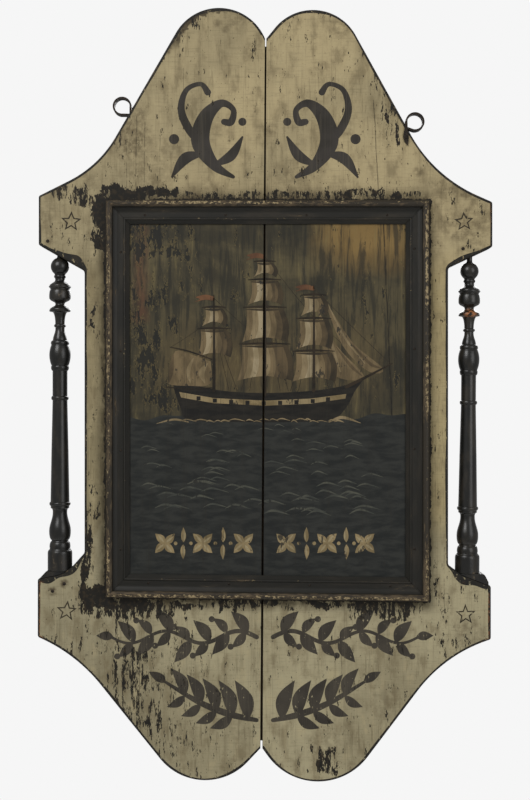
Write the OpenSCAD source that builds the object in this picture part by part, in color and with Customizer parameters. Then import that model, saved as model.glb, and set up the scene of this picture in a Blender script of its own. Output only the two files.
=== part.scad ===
// Hanging tavern sign: two wide planks, framed on both faces, with turned columns between the ears.
// Millimetres. X runs to the right of the front, Y to the back, Z up. The origin is the middle of the sign.
// Where a value holds two numbers, the first is the left side's and the second is the right side's.

/* [Planks] */
// Thickness of both planks
plank_t = 38; // [34:1:50]
// Radius worn on the sawn edges of both faces
arris_r = 3; // [1:0.5:5]
// Radius left on the two edges that meet at the seam
seam_arris = 0.5; // [0.2:0.1:1]
// Height of the notch between the crests
notch_top = 698; // [660:1:720]
// Height of the notch between the lobes
notch_low = -696; // [-715:1:-660]
// Sideways place of the seam at its top
seam_top = 1.8; // [-10:0.1:10]
// Sideways place of the seam at its bottom
seam_low = -6.7; // [-10:0.1:10]
// Width of the open seam at its top
gap_top = 2.4; // [1:0.1:5]
// Width of the open seam at its bottom
gap_low = 3.8; // [1:0.1:6]

/* [Crest and shoulders] */
// Sideways reach of each crest's corner, before it is rounded
crest_x = [80, 109]; // [78:1:120]
// Height of each crest's corner, before it is rounded
crest_z = [873, 830]; // [815:1:880]
// Radius of each crest
crest_r = [98, 96]; // [80:1:100]
// Sideways reach of the bend between the slope and the ear
shoulder_x = [326, 332]; // [300:1:350]
// Height of that bend
shoulder_z = [448, 428]; // [420:1:480]
// Radius of that bend
shoulder_r = [222, 280]; // [150:1:300]

/* [Ears and waist] */
// Sideways reach of each upper ear
ear_x = [444, 447]; // [430:1:490]
// Height of each upper ear's top corner
ear_top = [389, 377]; // [365:1:400]
// Height of each upper ear's lower corner
ear_low = [293, 289]; // [280:1:310]
// Radius on the corners of the ears
ear_r = 5; // [3.5:0.5:8]
// Half the width of the planks between the ears
waist_x = [354, 360]; // [350:1:375]
// Height of the top of the waist
waist_top = [242, 248]; // [230:1:260]
// Height of the bottom of the waist
waist_low = [-312, -336]; // [-340:1:-305]
// Radius where the waist meets the ears
waist_r = 9; // [4:1:15]
// Sideways reach of the bend in the top of each lower ear
seat_x = [390, 386]; // [380:1:400]
// Height of that bend
seat_z = [-352, -355]; // [-360:1:-345]
// Radius of that bend
seat_r = [70, 60]; // [40:1:90]
// Sideways reach of each lower ear
foot_x = [446, 444]; // [430:1:490]
// Height of each lower ear's top corner
foot_top = [-363, -377]; // [-380:1:-360]
// Height of each lower ear's bottom corner
foot_low = [-477, -482]; // [-490:1:-460]

/* [Hips and lobes] */
// Sideways reach of the bend between the lower ear and the lobe
hip_x = [369, 354]; // [340:1:372]
// Height of that bend
hip_z = [-513, -512]; // [-540:1:-495]
// Radius of that bend
hip_r = [320, 287]; // [200:1:330]
// Sideways reach of each lobe's corner, before it is rounded
lobe_x = [124, 102]; // [95:1:135]
// Height of each lobe's corner, before it is rounded
lobe_z = [-818, -845]; // [-860:1:-800]
// Radius of each lobe
lobe_r = [114, 122]; // [95:1:125]

/* [Loose tongue in the seam] */
// Thickness of the tongue
tongue_t = 8; // [5:0.5:12]
// Depth of the groove in each plank
groove_d = 20; // [12:1:30]
// How far the tongue stops short of each notch
tongue_short = 12; // [5:1:60]

/* [Moulded frame] */
// Distance from the middle to the frame's left side
frame_left = 310; // [280:1:325]
// Distance from the middle to the frame's right side
frame_right = 321; // [280:1:325]
// Height of the frame's top
frame_top = 378; // [330:1:385]
// Height of the frame's bottom corners
frame_low = [-397, -405]; // [-420:1:-350]
// Width of the moulding
mould_w = 45; // [42:1:60]
// Height of the moulding's outer bead above the plank
mould_h = 22; // [20:1:30]
// Height of its flat, where the nails go in
flat_h = 9; // [7:0.5:12]
// Open gap in each mitre
mitre_gap = 0.6; // [0.2:0.1:2]

/* [Turned columns] */
// Distance of each column's foot from the middle
col_x = [405, 400]; // [395:1:410]
// Height of each column's foot
col_z = [-348, -353]; // [-354:1:-345]
// Lean of each column, in degrees, to the right
col_lean = [0, 0.45]; // [-0.5:0.05:0.5]
// Height of each column's foot drum
drum_h = [40, 36]; // [30:1:50]
// Radius of the foot drum
drum_r = 24; // [20:0.5:26]
// Height of the ball's middle above the foot drum
ball_h = 560; // [540:1:562]
// Radius of the ball
ball_r = 18; // [15:0.5:20]
// Radius of the neck and tenon above the ball
neck_r = 5.3; // [4:0.1:8]
// Radius of the tenon below the drum
tenon_r = 10; // [6:0.5:12]
// Depth of each tenon in the ear
tenon_d = 30; // [20:1:36]
// Clearance of a tenon in its mortise, all round
mortise_gap = 0.1; // [0.05:0.05:0.5]

/* [Plinths under the columns] */
// Reach of each plinth's top beyond the column's axis
plinth_top = [24, 31]; // [24:1:32]
// Reach of each plinth's foot beyond the column's axis
plinth_foot = [38, 39]; // [33:1:40]
// Height of each plinth at its outer end
plinth_h = [15, 16]; // [12:1:20]
// Radius on its top corner
plinth_r = [1, 8]; // [1:1:8]
// Depth of each plinth, front to back
plinth_t = 40; // [36:1:46]

/* [Hanging eyes] */
// Radius of the hole in each eye
eye_r = 15; // [10:0.5:20]
// Thickness of the strap
strap_t = 3.5; // [2.5:0.5:5]
// Width of the strap
strap_w = 16; // [10:1:16]
// Height of each eye's middle
eye_z = [571, 534]; // [500:1:600]
// Turn of each eye away from square to the edge, in degrees
eye_turn = [16, 7]; // [7:1:17]
// Half the angle of each eye's corner, in degrees
corner_half = [45, 56]; // [45:1:57]
// How deep each eye's corner is let into the edge
corner_sunk = [0.7, 3.4]; // [0.5:0.1:3.6]
// Thickness of the leaf nailed to the face
leaf_t = 2.5; // [2:0.5:4]
// Length of the leaf below the eye's middle
leaf_l = 47; // [40:1:60]
// Width of the leaf
leaf_w = 11; // [9:1:14]
// Length of the spike driven into the edge
spike_l = 42; // [25:1:60]
// Thickness of the spike
spike_t = 6; // [4:0.5:8]
// Clearance of the eye and spike in their seat
seat_gap = 0.15; // [0.05:0.05:0.5]

/* [Nails] */
// Radius of a nail's shank
shank_r = 1.6; // [1:0.1:2.5]
// Clearance round each shank
nail_gap = 0.05; // [0.02:0.01:0.2]
// Radius of a frame nail's head
brad_r = 2.5; // [2:0.1:3.5]
// Radius of a rose head
rose_r = 4.2; // [3:0.1:5]
// Depth of the nails in the planks
nail_d = 17; // [10:1:17]
// Places of the nails along each rail, as shares of its length
rail_nails = [0.13, 0.38, 0.63, 0.88]; // [0.1:0.01:0.9]

/* [Hidden] */

LEFT = 0;
RIGHT = 1;
UPPER = 0;
LOWER = 1;
FACE = plank_t / 2;
STEP = 5;
WAIST_CORNER = 5;
CORNER_ROOM = 4;
BORE_FN = 64;
CREAM = [0.58, 0.53, 0.41];
BLACK = [0.16, 0.16, 0.15];
IRON = [0.2, 0.19, 0.18];
BARE_WOOD = [0.62, 0.48, 0.32];

function way(s) = s == LEFT ? -1 : 1;
function flat(p) = [p[0], p[1]];
function unit(v) = v / norm(v);
function mix(a, b, t) = a + (b - a) * t;
function polar(r, a) = [r * cos(a), r * sin(a)];
function backwards(v) = [for (i = [len(v) - 1 : -1 : 0]) v[i]];

// Outline of the planks

function down_seam(z) = (notch_top - z) / (notch_top - notch_low);
function seam_edge(s, z) =
    mix(seam_top, seam_low, down_seam(z)) + way(s) * mix(gap_top, gap_low, down_seam(z)) / 2;

// Corners of one plank as [sideways, up, radius], from the upper notch outwards and down to the lower one
function plank_corners(s) = let (g = way(s)) [
    [seam_edge(s, notch_top), notch_top, 0],
    [g * crest_x[s], crest_z[s], crest_r[s]],
    [g * shoulder_x[s], shoulder_z[s], shoulder_r[s]],
    [g * ear_x[s], ear_top[s], ear_r],
    [g * ear_x[s], ear_low[s], ear_r],
    [g * waist_x[s], waist_top[s], waist_r],
    [g * waist_x[s], waist_low[s], waist_r],
    [g * seat_x[s], seat_z[s], seat_r[s]],
    [g * foot_x[s], foot_top[s], ear_r],
    [g * foot_x[s], foot_low[s], ear_r],
    [g * hip_x[s], hip_z[s], hip_r[s]],
    [g * lobe_x[s], lobe_z[s], lobe_r[s]],
    [seam_edge(s, notch_low), notch_low, 0]
];

// One rounded corner, drawn in from its two edges by da and db; turn is 1 where the corners run anticlockwise.
// A radius that would run past the next corner is held back.
function rounded_corner(before, corner, after, da, db, turn) =
    let (
        p = flat(corner),
        a = unit(flat(before) - p),
        b = unit(flat(after) - p),
        side = a[0] * b[1] - a[1] * b[0],
        out = side * turn < 0 ? 1 : -1,
        q = p + out * (a * db + b * da) / abs(side),
        inner = acos(a * b),
        room = min(norm(flat(before) - p), norm(flat(after) - p)) - CORNER_ROOM,
        r = min(corner[2], room * tan(inner / 2)),
        rr = out > 0 ? max(r - da, 0.2) : r + da,
        steps = max(3, ceil((180 - inner) * PI / 180 * r / STEP)),
        centre = q + unit(a + b) * rr / sin(inner / 2),
        first = q + a * rr / tan(inner / 2) - centre,
        start = atan2(first[1], first[0])
    )
    r == 0 ? [q] : [for (i = [0 : steps]) centre + polar(rr, start + out * turn * (180 - inner) * i / steps)];

// The outline of one plank up to its given corner, drawn in by inset, and by seam_inset along the seam
function outline_to(s, to, inset, seam_inset) =
    let (c = plank_corners(s), n = len(c), turn = -way(s))
    [for (i = [0 : to])
        each rounded_corner(c[(i + n - 1) % n], c[i], c[(i + 1) % n],
            i == 0 ? seam_inset : inset, i == n - 1 ? seam_inset : inset, turn)];

// The whole outline, with two points on the seam from which the lower and the upper half can be seen whole
function seam_point(s, z, seam_inset) = [seam_edge(s, z) + way(s) * seam_inset, z];
function plank_outline(s, inset = 0, seam_inset = 0) = concat(
    outline_to(s, len(plank_corners(s)) - 1, inset, seam_inset),
    [
        seam_point(s, (foot_top[s] + foot_low[s]) / 2, seam_inset),
        seam_point(s, ear_low[s], seam_inset)
    ]
);

// Sections from the front face to the back, as [share of the edge radius drawn in, distance from the middle]
arris_steps = [for (a = [0 : 45 : 90]) [1 - sin(a), FACE - arris_r * (1 - cos(a))]];
plank_sections = concat([for (v = arris_steps) [v[0], -v[1]]], backwards(arris_steps));

function started_at(first, rest, forward) = concat([first], forward ? rest : backwards(rest));

module plank_blank(s) {
    rings = [for (v = plank_sections) plank_outline(s, v[0] * arris_r, v[0] * seam_arris)];
    n = len(rings[0]);
    last = len(rings) - 1;
    waist = len(outline_to(s, WAIST_CORNER, 0, 0)) - 1;
    upper = [for (i = [0 : waist]) i];
    lower = concat([n - 1], [for (i = [waist : n - 3]) i]);
    points = [for (k = [0 : last]) for (p = rings[k]) [p[0], plank_sections[k][1], p[1]]];
    sides = [for (k = [0 : last - 1]) for (i = [0 : n - 1])
        let (j = (i + 1) % n, quad = [k * n + i, k * n + j, (k + 1) * n + j, (k + 1) * n + i])
        s == LEFT ? quad : backwards(quad)];
    faces = [for (k = [0, last])
        let (forward = (k == last) == (s == LEFT))
        each [
            started_at(k * n + n - 1, [for (i = upper) k * n + i], forward),
            started_at(k * n + n - 2, [for (i = lower) k * n + i], forward)
        ]];
    polyhedron(points, concat(sides, faces), convexity = 10);
}

// A flat shape in X and Z, thickened evenly to the front and the back
module slab(depth) {
    translate([0, depth / 2, 0]) rotate([90, 0, 0]) linear_extrude(depth) children();
}

module ear_shadow(s) {
    slab(2 * FACE + 60) polygon(plank_outline(s));
}

// Loose tongue and its grooves

module tongue_shape(depth, gap, short) {
    top = notch_top - short;
    low = notch_low + short;
    polygon([
        [seam_edge(LEFT, top) - depth + gap, top],
        [seam_edge(LEFT, low) - depth + gap, low],
        [seam_edge(RIGHT, low) + depth - gap, low],
        [seam_edge(RIGHT, top) + depth - gap, top]
    ]);
}

module seam_groove() {
    slab(tongue_t) tongue_shape(groove_d, 0, -50);
}

module seam_tongue() {
    color(BARE_WOOD) slab(tongue_t - 0.3) tongue_shape(groove_d, 0.5, tongue_short);
}

// Moulded frame

// Outer corners from the top left, down, across the bottom and up
frame_corners = [
    [-frame_left, frame_top],
    [-frame_left, frame_low[LEFT]],
    [frame_right, frame_low[RIGHT]],
    [frame_right, frame_top]
];

function frame_point(i) = frame_corners[i % 4];
function frame_run(i) = unit(frame_point(i + 1) - frame_point(i));
function frame_inner(i) =
    let (a = -frame_run(i + 3), b = frame_run(i), side = abs(a[0] * b[1] - a[1] * b[0]))
    frame_point(i) + (a + b) * mould_w / side;

bead_r = 7;
small_bead_r = 2.6;
cove_end = 24;
flat_end = 33;
lip_h = 3;

function arc(centre, r, a0, a1, n) =
    [for (i = [0 : n]) centre + polar(r, mix(a0, a1, i / n))];
function sweep_curve(p, q, n) =
    [for (i = [0 : n]) [mix(p[0], q[0], i / n), mix(p[1], q[1], sin(90 * i / n))]];

// The moulding's section: outer bead, cove, flat, small bead and the slope down to the panel
moulding = concat(
    [[0, 0]],
    arc([bead_r, mould_h - bead_r], bead_r, 180, 0, 16),
    sweep_curve([2 * bead_r, mould_h - bead_r - 1.5], [cove_end, flat_h], 10),
    [[flat_end, flat_h]],
    arc([flat_end + small_bead_r, flat_h - 0.4], small_bead_r, 165, 10, 10),
    [[mould_w, lip_h], [mould_w, 0]]
);

module front_rail(i) {
    a = frame_point(i);
    b = frame_point(i + 1);
    run = frame_run(i);
    gap = run * mitre_gap / 2;
    lead_a = (frame_inner(i) - a) * 0.2;
    lead_b = (frame_inner(i + 1) - b) * 0.2;
    start = a - run * 2;
    color(BLACK) difference() {
        intersection() {
            translate([start[0], -FACE, start[1]])
                rotate([0, atan2(-run[0], -run[1]), 0]) rotate([180, 0, 0])
                    linear_extrude(norm(b - a) + 4) polygon(moulding);
            slab(2 * FACE + 2 * mould_h + 10) polygon([
                a - lead_a + gap,
                b - lead_b - gap,
                frame_inner(i + 1) + lead_b - gap,
                frame_inner(i) + lead_a + gap
            ]);
        }
        rail_nail_holes(i);
    }
}

module back_rail(i) {
    mirror([0, 1, 0]) front_rail(i);
}

// Nails

nail_line = (cove_end + flat_end) / 2;

function rail_nail(i, share) =
    let (run = frame_run(i), inward = [-run[1], run[0]])
    mix(frame_point(i), frame_point(i + 1), share) + inward * nail_line;

// A hole or shank at [x, z] from the front, reaching from y0 to y1
module bore(p, r, y0, y1) {
    translate([p[0], y1, p[1]]) rotate([90, 0, 0]) cylinder(h = y1 - y0, r = r, $fn = BORE_FN);
}

module rail_nail_holes(i) {
    for (share = rail_nails)
        bore(rail_nail(i, share), shank_r + nail_gap, -FACE - mould_h, -FACE + nail_d + 0.5);
}

module all_rail_nail_holes() {
    for (i = [0 : 3]) rail_nail_holes(i);
    mirror([0, 1, 0]) for (i = [0 : 3]) rail_nail_holes(i);
}

// A nail at [x, z] whose head rests on the plane y = seat, pointing to the back
module nail(p, seat, head_r, head_h, length) {
    translate([p[0], seat, p[1]]) rotate([-90, 0, 0]) {
        cylinder(h = length, r = shank_r, $fn = BORE_FN);
        translate([0, 0, -head_h]) cylinder(h = head_h, r1 = head_r * 0.45, r2 = head_r, $fn = BORE_FN);
    }
}

module front_frame_nails() {
    color(IRON) for (i = [0 : 3]) for (share = rail_nails)
        nail(rail_nail(i, share), -FACE - flat_h, brad_r, 1, flat_h + nail_d);
}

module back_frame_nails() {
    mirror([0, 1, 0]) front_frame_nails();
}

// Nails in the ears, beside and through the columns' tenons.
// Each is [side, ear, distance inwards of the ear's end, height above the ear's inner corner].
ear_nail_list = [
    [LEFT, UPPER, 18, 7],
    [RIGHT, UPPER, 58, -4],
    [LEFT, LOWER, 52.4, -9.5],
    [LEFT, LOWER, 29.5, -24],
    [RIGHT, LOWER, 54, 7]
];

function ear_nail(v) =
    let (
        s = v[0],
        end = v[1] == UPPER ? ear_x[s] : foot_x[s],
        corner = v[1] == UPPER ? ear_low[s] : foot_top[s]
    )
    [way(s) * (end - v[2]), corner + v[3]];

module ear_nail_holes(s) {
    for (v = ear_nail_list) if (v[0] == s)
        bore(ear_nail(v), shank_r + nail_gap, -FACE - 1, -FACE + 1.5 * nail_d + 0.5);
}

module ear_nails() {
    color(IRON) for (v = ear_nail_list) nail(ear_nail(v), -FACE, rose_r * 0.8, 1, 1.5 * nail_d);
}

// Turned columns

// A turner's shapes, each a run of [radius, height] from z0 up to z1
function bead(z0, z1, r0, r1, r_out) = [for (i = [0 : 10])
    let (t = i / 10, swell = (r_out - max(r0, r1)) * sin(180 * t))
    [mix(r0, r1, t) + swell, mix(z0, z1, (1 - cos(180 * t)) / 2)]];
function ogee(z0, z1, r0, r1) = [for (i = [0 : 10])
    let (t = i / 10) [mix(r0, r1, (1 - cos(180 * t)) / 2), mix(z0, z1, t)]];
function quarter(z0, z1, r0, r1) = [for (i = [0 : 10])
    let (a = 90 * i / 10) [mix(r0, r1, 1 - cos(a)), mix(z0, z1, sin(a))]];
function bulge(z0, z1, r0, r1) = [for (i = [0 : 10])
    let (a = 90 * i / 10) [mix(r0, r1, sin(a)), mix(z0, z1, 1 - cos(a))]];

// Heights here are above the drum.
// Everything above the ring moves with ball_h, and the shaft takes up the length.
shaft_top = ball_h - 262;

function column_profile(s) = let (d = drum_h[s], u = shaft_top + drum_h[s]) concat(
    [[0, 0], [drum_r - 1, 0], [drum_r, 1], [drum_r, d - 7]],
    quarter(d - 7, d, drum_r, drum_r - 2.5),
    [[19.8, d + 3]],
    bead(d + 4, d + 17, 19.8, 17, 21.6),
    [[16.3, d + 18.5]],
    bulge(d + 20, d + 36, 16.3, 21.1),
    ogee(d + 38, d + 74, 21.1, 14.1),
    quarter(d + 76, d + 83, 14.1, 18.1),
    [[18.1, d + 87]],
    bead(d + 87.5, d + 95, 18.1, 18.4, 20.8),
    [[18.4, d + 96]],
    [[mix(18.4, 14.5, 0.45), mix(d + 96, u - 3, 0.5)]],
    [[14.5, u - 3]],
    bead(u - 2, u + 6, 14.5, 14.5, 17),
    [[14.5, u + 8], [14.5, u + 54]],
    bead(u + 56, u + 66, 14.5, 16.3, 18.3),
    barrel(u + 67, u + 107),
    bead(u + 108, u + 115.5, 17, 15.2, 18.6),
    ogee(u + 116.5, u + 139, 13.8, 9),
    bead(u + 142, u + 148, 9, 9, 11.6),
    quarter(u + 149, u + 172, 9.2, 15),
    [[20.4, u + 173], [20.9, u + 175.5]],
    ogee(u + 177, u + 187, 20, 9),
    ogee(u + 189, u + 197, 9.2, 19.5),
    bead(u + 198, u + 216, 20.4, 18.5, 21.9),
    [[19, u + 218.5], [21.6, u + 221], [21.6, u + 222.5]],
    ogee(u + 223.5, u + 235, 20.6, 9.4),
    bead(u + 239, u + 245, 9.6, 10, 11.8),
    ball(d + ball_h),
    [[neck_r, d + ball_h + ball_r + 2]],
    [[0, d + ball_h + ball_r + 2]]
);

function barrel(z0, z1) = [for (i = [0 : 12])
    let (t = i / 12) [16.8 + 4 * pow(sin(180 * t), 0.8), mix(z0, z1, t)]];
function ball(z) =
    let (low = asin(11 / ball_r) - 90, high = 90 - asin((neck_r + 1) / ball_r))
    [for (i = [0 : 20]) [0, z] + polar(ball_r, mix(low, high, i / 20))];

// Puts a shape made on the column's own axis, with its foot at zero, in its place on the sign
module on_column(s) {
    translate([way(s) * col_x[s], 0, col_z[s]]) rotate([0, col_lean[s], 0]) children();
}

// Underside of the upper ear above a column, and top of the lower ear below it, from the column's foot
function ear_above(s) =
    mix(ear_low[s], waist_top[s], (ear_x[s] - col_x[s]) / (ear_x[s] - waist_x[s])) - col_z[s];
function column_top(s) = drum_h[s] + ball_h + ball_r;

// The upper tenon grows out of the ball, below the ear wherever the ear lies
function neck_start(s) = min(column_top(s), ear_above(s)) - 4;

module tenons(s, gap, spare) {
    on_column(s) {
        translate([0, 0, -tenon_d - 10 - spare])
            cylinder(h = tenon_d + 11 + spare, r = tenon_r + gap, $fn = BORE_FN);
        translate([0, 0, neck_start(s)])
            cylinder(
                h = ear_above(s) - neck_start(s) + tenon_d + 12 * spare,
                r = neck_r + gap,
                $fn = BORE_FN
            );
    }
}

module column(s) {
    color(BLACK) difference() {
        union() {
            difference() {
                on_column(s) rotate_extrude($fn = 96) polygon(column_profile(s));
                ear_shadow(s);
            }
            tenons(s, 0, 0);
        }
        ear_nail_holes(s);
    }
}

module left_column() {
    column(LEFT);
}

module right_column() {
    column(RIGHT);
}

// Plinths

module plinth(s) {
    foot = plinth_foot[s];
    low = -plinth_h[s];
    corner = rounded_corner([-drum_r, 0, 0], [plinth_top[s], 0, plinth_r[s]], [foot, low, 0], 0, 0, -1);
    outline = concat([[-drum_r, -40], [-drum_r, 0]], corner, [[foot, low], [foot, -40]]);
    color(BLACK) difference() {
        on_column(s) slab(plinth_t) polygon([for (p = outline) [way(s) * p[0], p[1]]]);
        ear_shadow(s);
        tenons(s, mortise_gap, 0);
    }
}

module left_plinth() {
    plinth(LEFT);
}

module right_plinth() {
    plinth(RIGHT);
}

// Hanging eyes

// Place on the sloping edge level with the eye, and the direction straight out from that edge
function slope_run(s) = unit([way(s) * (shoulder_x[s] - crest_x[s]), shoulder_z[s] - crest_z[s]]);
function slope_out(s) = way(s) * [-slope_run(s)[1], slope_run(s)[0]];
function slope_point(s) =
    let (t = (crest_z[s] - eye_z[s]) / (crest_z[s] - shoulder_z[s]))
    [way(s) * mix(crest_x[s], shoulder_x[s], t), eye_z[s]];

// The eye's round stays clear of the edge, and its corner reaches into it
function eye_stand(s) =
    max((eye_r + strap_t) / sin(corner_half[s]) * cos(eye_turn[s]) - corner_sunk[s], eye_r + strap_t + 0.3);
function eye_centre(s) = slope_point(s) + [eye_stand(s) / slope_out(s)[0], 0];

// The corner that a round strap or hole of radius r is drawn to, pointing to the left
module eye_corner(s, r) {
    polygon([
        polar(r / sin(corner_half[s]), 180),
        polar(r * 0.99, 270 - corner_half[s]),
        [0, 0],
        polar(r * 0.99, 90 + corner_half[s])
    ]);
}

module eye_shape(s, r) {
    circle(r, $fn = BORE_FN);
    eye_corner(s, r);
}

// The spike's root lies within the strap's own thickness
spike_angle = atan(spike_t / 2 / (eye_r + strap_t));
function spike_root(s) = (eye_r + 0.8 * strap_t) / cos(90 - corner_half[s] - eye_turn[s] - spike_angle);

module spike_shape(s, gap) {
    root = -spike_root(s);
    middle = root - spike_l * 0.6;
    end = root - spike_l - gap;
    root_half = spike_t / 2 + gap;
    middle_half = spike_t / 2 - 0.6 + gap;
    end_half = 0.6 + gap;
    polygon([
        [root, root_half], [middle, middle_half], [end, end_half],
        [end, -end_half], [middle, -middle_half], [root, -root_half]
    ]);
}

// The leaf, from its narrow root on the strap to its point, hanging straight down from the eye
leaf_side = -eye_r - strap_t / 2 - 1.2;
leaf_root = 2.2;
leaf_wide = -leaf_l * 0.66;

function leaf_edge(side) = [for (t = [0 : 0.1 : 1])
    [leaf_side + side * mix(leaf_root, leaf_w / 2, (1 - cos(180 * t)) / 2), mix(-8, leaf_wide, t)]];

module leaf_shape() {
    polygon(concat(
        [[leaf_side - leaf_root, 0]],
        leaf_edge(-1),
        [
            [leaf_side - leaf_w * 0.22, -leaf_l * 0.86],
            [leaf_side + leaf_w * 0.33, -leaf_l],
            [leaf_side + leaf_w * 0.43, -leaf_l * 0.84]
        ],
        backwards(leaf_edge(1)),
        [[leaf_side + leaf_root, 0]]
    ));
}

// Nail through the leaf, from the eye's middle
leaf_nail = [leaf_side, leaf_wide];

strap_middle = -FACE - leaf_t + strap_w / 2;
function edge_angle(s) = let (o = slope_out(s)) atan2(o[1], o[0] * way(s));

// Places a shape, drawn for the right side with the eye's middle at zero, on either side of the sign.
// The left eye is the same forging turned round, so its leaf is on the back.
module on_eye(s) {
    c = eye_centre(s);
    turn = s == RIGHT ? 0 : 180;
    translate([c[0], 0, c[1]]) rotate([0, 0, turn]) children();
}

// A shape in the middle of the strap, turned so that its left is square into the sloping edge
module in_strap(s, depth, turn = 0) {
    on_eye(s) translate([0, strap_middle, 0]) rotate([0, -edge_angle(s) - turn, 0]) slab(depth) children();
}

module hanger(s) {
    color(IRON) difference() {
        union() {
            in_strap(s, strap_w, eye_turn[s]) difference() {
                eye_shape(s, eye_r + strap_t);
                eye_shape(s, eye_r);
            }
            in_strap(s, spike_t) spike_shape(s, 0);
            on_eye(s) translate([0, -FACE - leaf_t / 2, 0]) slab(leaf_t) difference() {
                leaf_shape();
                circle(eye_r + strap_t / 2, $fn = BORE_FN);
            }
        }
        on_eye(s) bore(leaf_nail, shank_r + nail_gap, -FACE - leaf_t - 1, -FACE + 1);
    }
}

// What the eye's corner and spike take out of the plank's edge
module hanger_seat(s) {
    in_strap(s, strap_w + 2 * seat_gap, eye_turn[s]) eye_corner(s, eye_r + strap_t + seat_gap);
    in_strap(s, spike_t + 2 * seat_gap) spike_shape(s, seat_gap);
}

module left_hanger() {
    hanger(LEFT);
}

module right_hanger() {
    hanger(RIGHT);
}

module hanger_nails() {
    color(IRON) for (s = [LEFT, RIGHT])
        on_eye(s) nail(leaf_nail, -FACE - leaf_t, rose_r, 1.8, leaf_t + nail_d);
}

// The planks, with all that is cut in them

module plank(s) {
    color(CREAM) difference() {
        plank_blank(s);
        seam_groove();
        tenons(s, mortise_gap, 1);
        hanger_seat(s);
        on_eye(s) bore(leaf_nail, shank_r + nail_gap, -FACE - 1, -FACE + nail_d + 0.5);
        all_rail_nail_holes();
        ear_nail_holes(s);
    }
}

module left_plank() {
    plank(LEFT);
}

module right_plank() {
    plank(RIGHT);
}

left_plank();
right_plank();
seam_tongue();
front_rail(0);  // front_frame_left
front_rail(1);  // front_frame_bottom
front_rail(2);  // front_frame_right
front_rail(3);  // front_frame_top
back_rail(0);  // back_frame_left
back_rail(1);  // back_frame_bottom
back_rail(2);  // back_frame_right
back_rail(3);  // back_frame_top
left_column();
right_column();
left_plinth();
right_plinth();
left_hanger();
right_hanger();
hanger_nails();
front_frame_nails();
back_frame_nails();
ear_nails();
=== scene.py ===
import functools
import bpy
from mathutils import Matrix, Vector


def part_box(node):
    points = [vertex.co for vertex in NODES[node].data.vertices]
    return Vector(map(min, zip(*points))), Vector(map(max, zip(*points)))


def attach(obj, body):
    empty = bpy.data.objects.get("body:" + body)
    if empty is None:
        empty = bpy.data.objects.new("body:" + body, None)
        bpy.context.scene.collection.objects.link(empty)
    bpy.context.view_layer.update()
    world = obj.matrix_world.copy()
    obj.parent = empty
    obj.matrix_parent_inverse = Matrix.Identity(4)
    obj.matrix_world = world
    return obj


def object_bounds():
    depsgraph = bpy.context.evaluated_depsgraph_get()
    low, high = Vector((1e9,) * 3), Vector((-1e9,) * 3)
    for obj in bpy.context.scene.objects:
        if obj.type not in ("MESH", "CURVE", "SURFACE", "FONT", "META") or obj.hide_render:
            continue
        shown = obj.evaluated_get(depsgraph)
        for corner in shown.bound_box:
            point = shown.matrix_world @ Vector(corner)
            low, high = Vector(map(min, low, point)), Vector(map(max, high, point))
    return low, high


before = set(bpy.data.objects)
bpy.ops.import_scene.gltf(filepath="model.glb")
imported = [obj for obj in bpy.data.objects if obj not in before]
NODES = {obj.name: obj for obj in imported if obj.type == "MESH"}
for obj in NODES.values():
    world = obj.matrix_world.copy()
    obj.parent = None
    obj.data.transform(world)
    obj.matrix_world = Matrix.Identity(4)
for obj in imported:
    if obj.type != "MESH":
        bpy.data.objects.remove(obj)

# Looks of a two-sided hanging sign of painted planks.
# Positions are in metres in the CAD model's frame: X to the right of the front, Y to the back, Z up.
# Drawings on a face are in millimetres as seen from that face: u to the right, v up, from the middle of the sign.

import inspect
import math
import random

import bpy
import numpy as np
from mathutils import Matrix, Vector

FRONT, BACK = -1, 1
FACES = {"front": FRONT, "back": BACK}
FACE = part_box("left_plank")[1].y
COLUMN_AXIS = 0.4025  # how far the columns' middles lie from the sign's
CHIPPED_RING = (0.4040, 0.0, 0.156)  # the left side of a ring of the right column
cad_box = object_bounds()


def srgb(red, green, blue):
    """A colour as it looks on a screen, from 0 to 255, as the linear colour that Blender takes."""
    shares = (c / 255 for c in (red, green, blue))
    return *(c / 12.92 if c <= 10 / 255 else ((c + 0.055) / 1.055) ** 2.4 for c in shares), 1.0


def mm(u, v):
    """A place on a face, from millimetres."""
    return (u / 1000, 0.0, v / 1000)


CREAM = srgb(166, 151, 115)
CREAM_LOW = srgb(160, 151, 121)
UNDERCOAT = srgb(33, 31, 27)
BLACK_PAINT = srgb(34, 33, 30)


# Building node trees


def arithmetic(operation, swapped=False):
    """A method of Value for one sign of arithmetic."""
    return lambda self, other: self.net.math(operation, *((other, self) if swapped else (self, other)))


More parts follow.
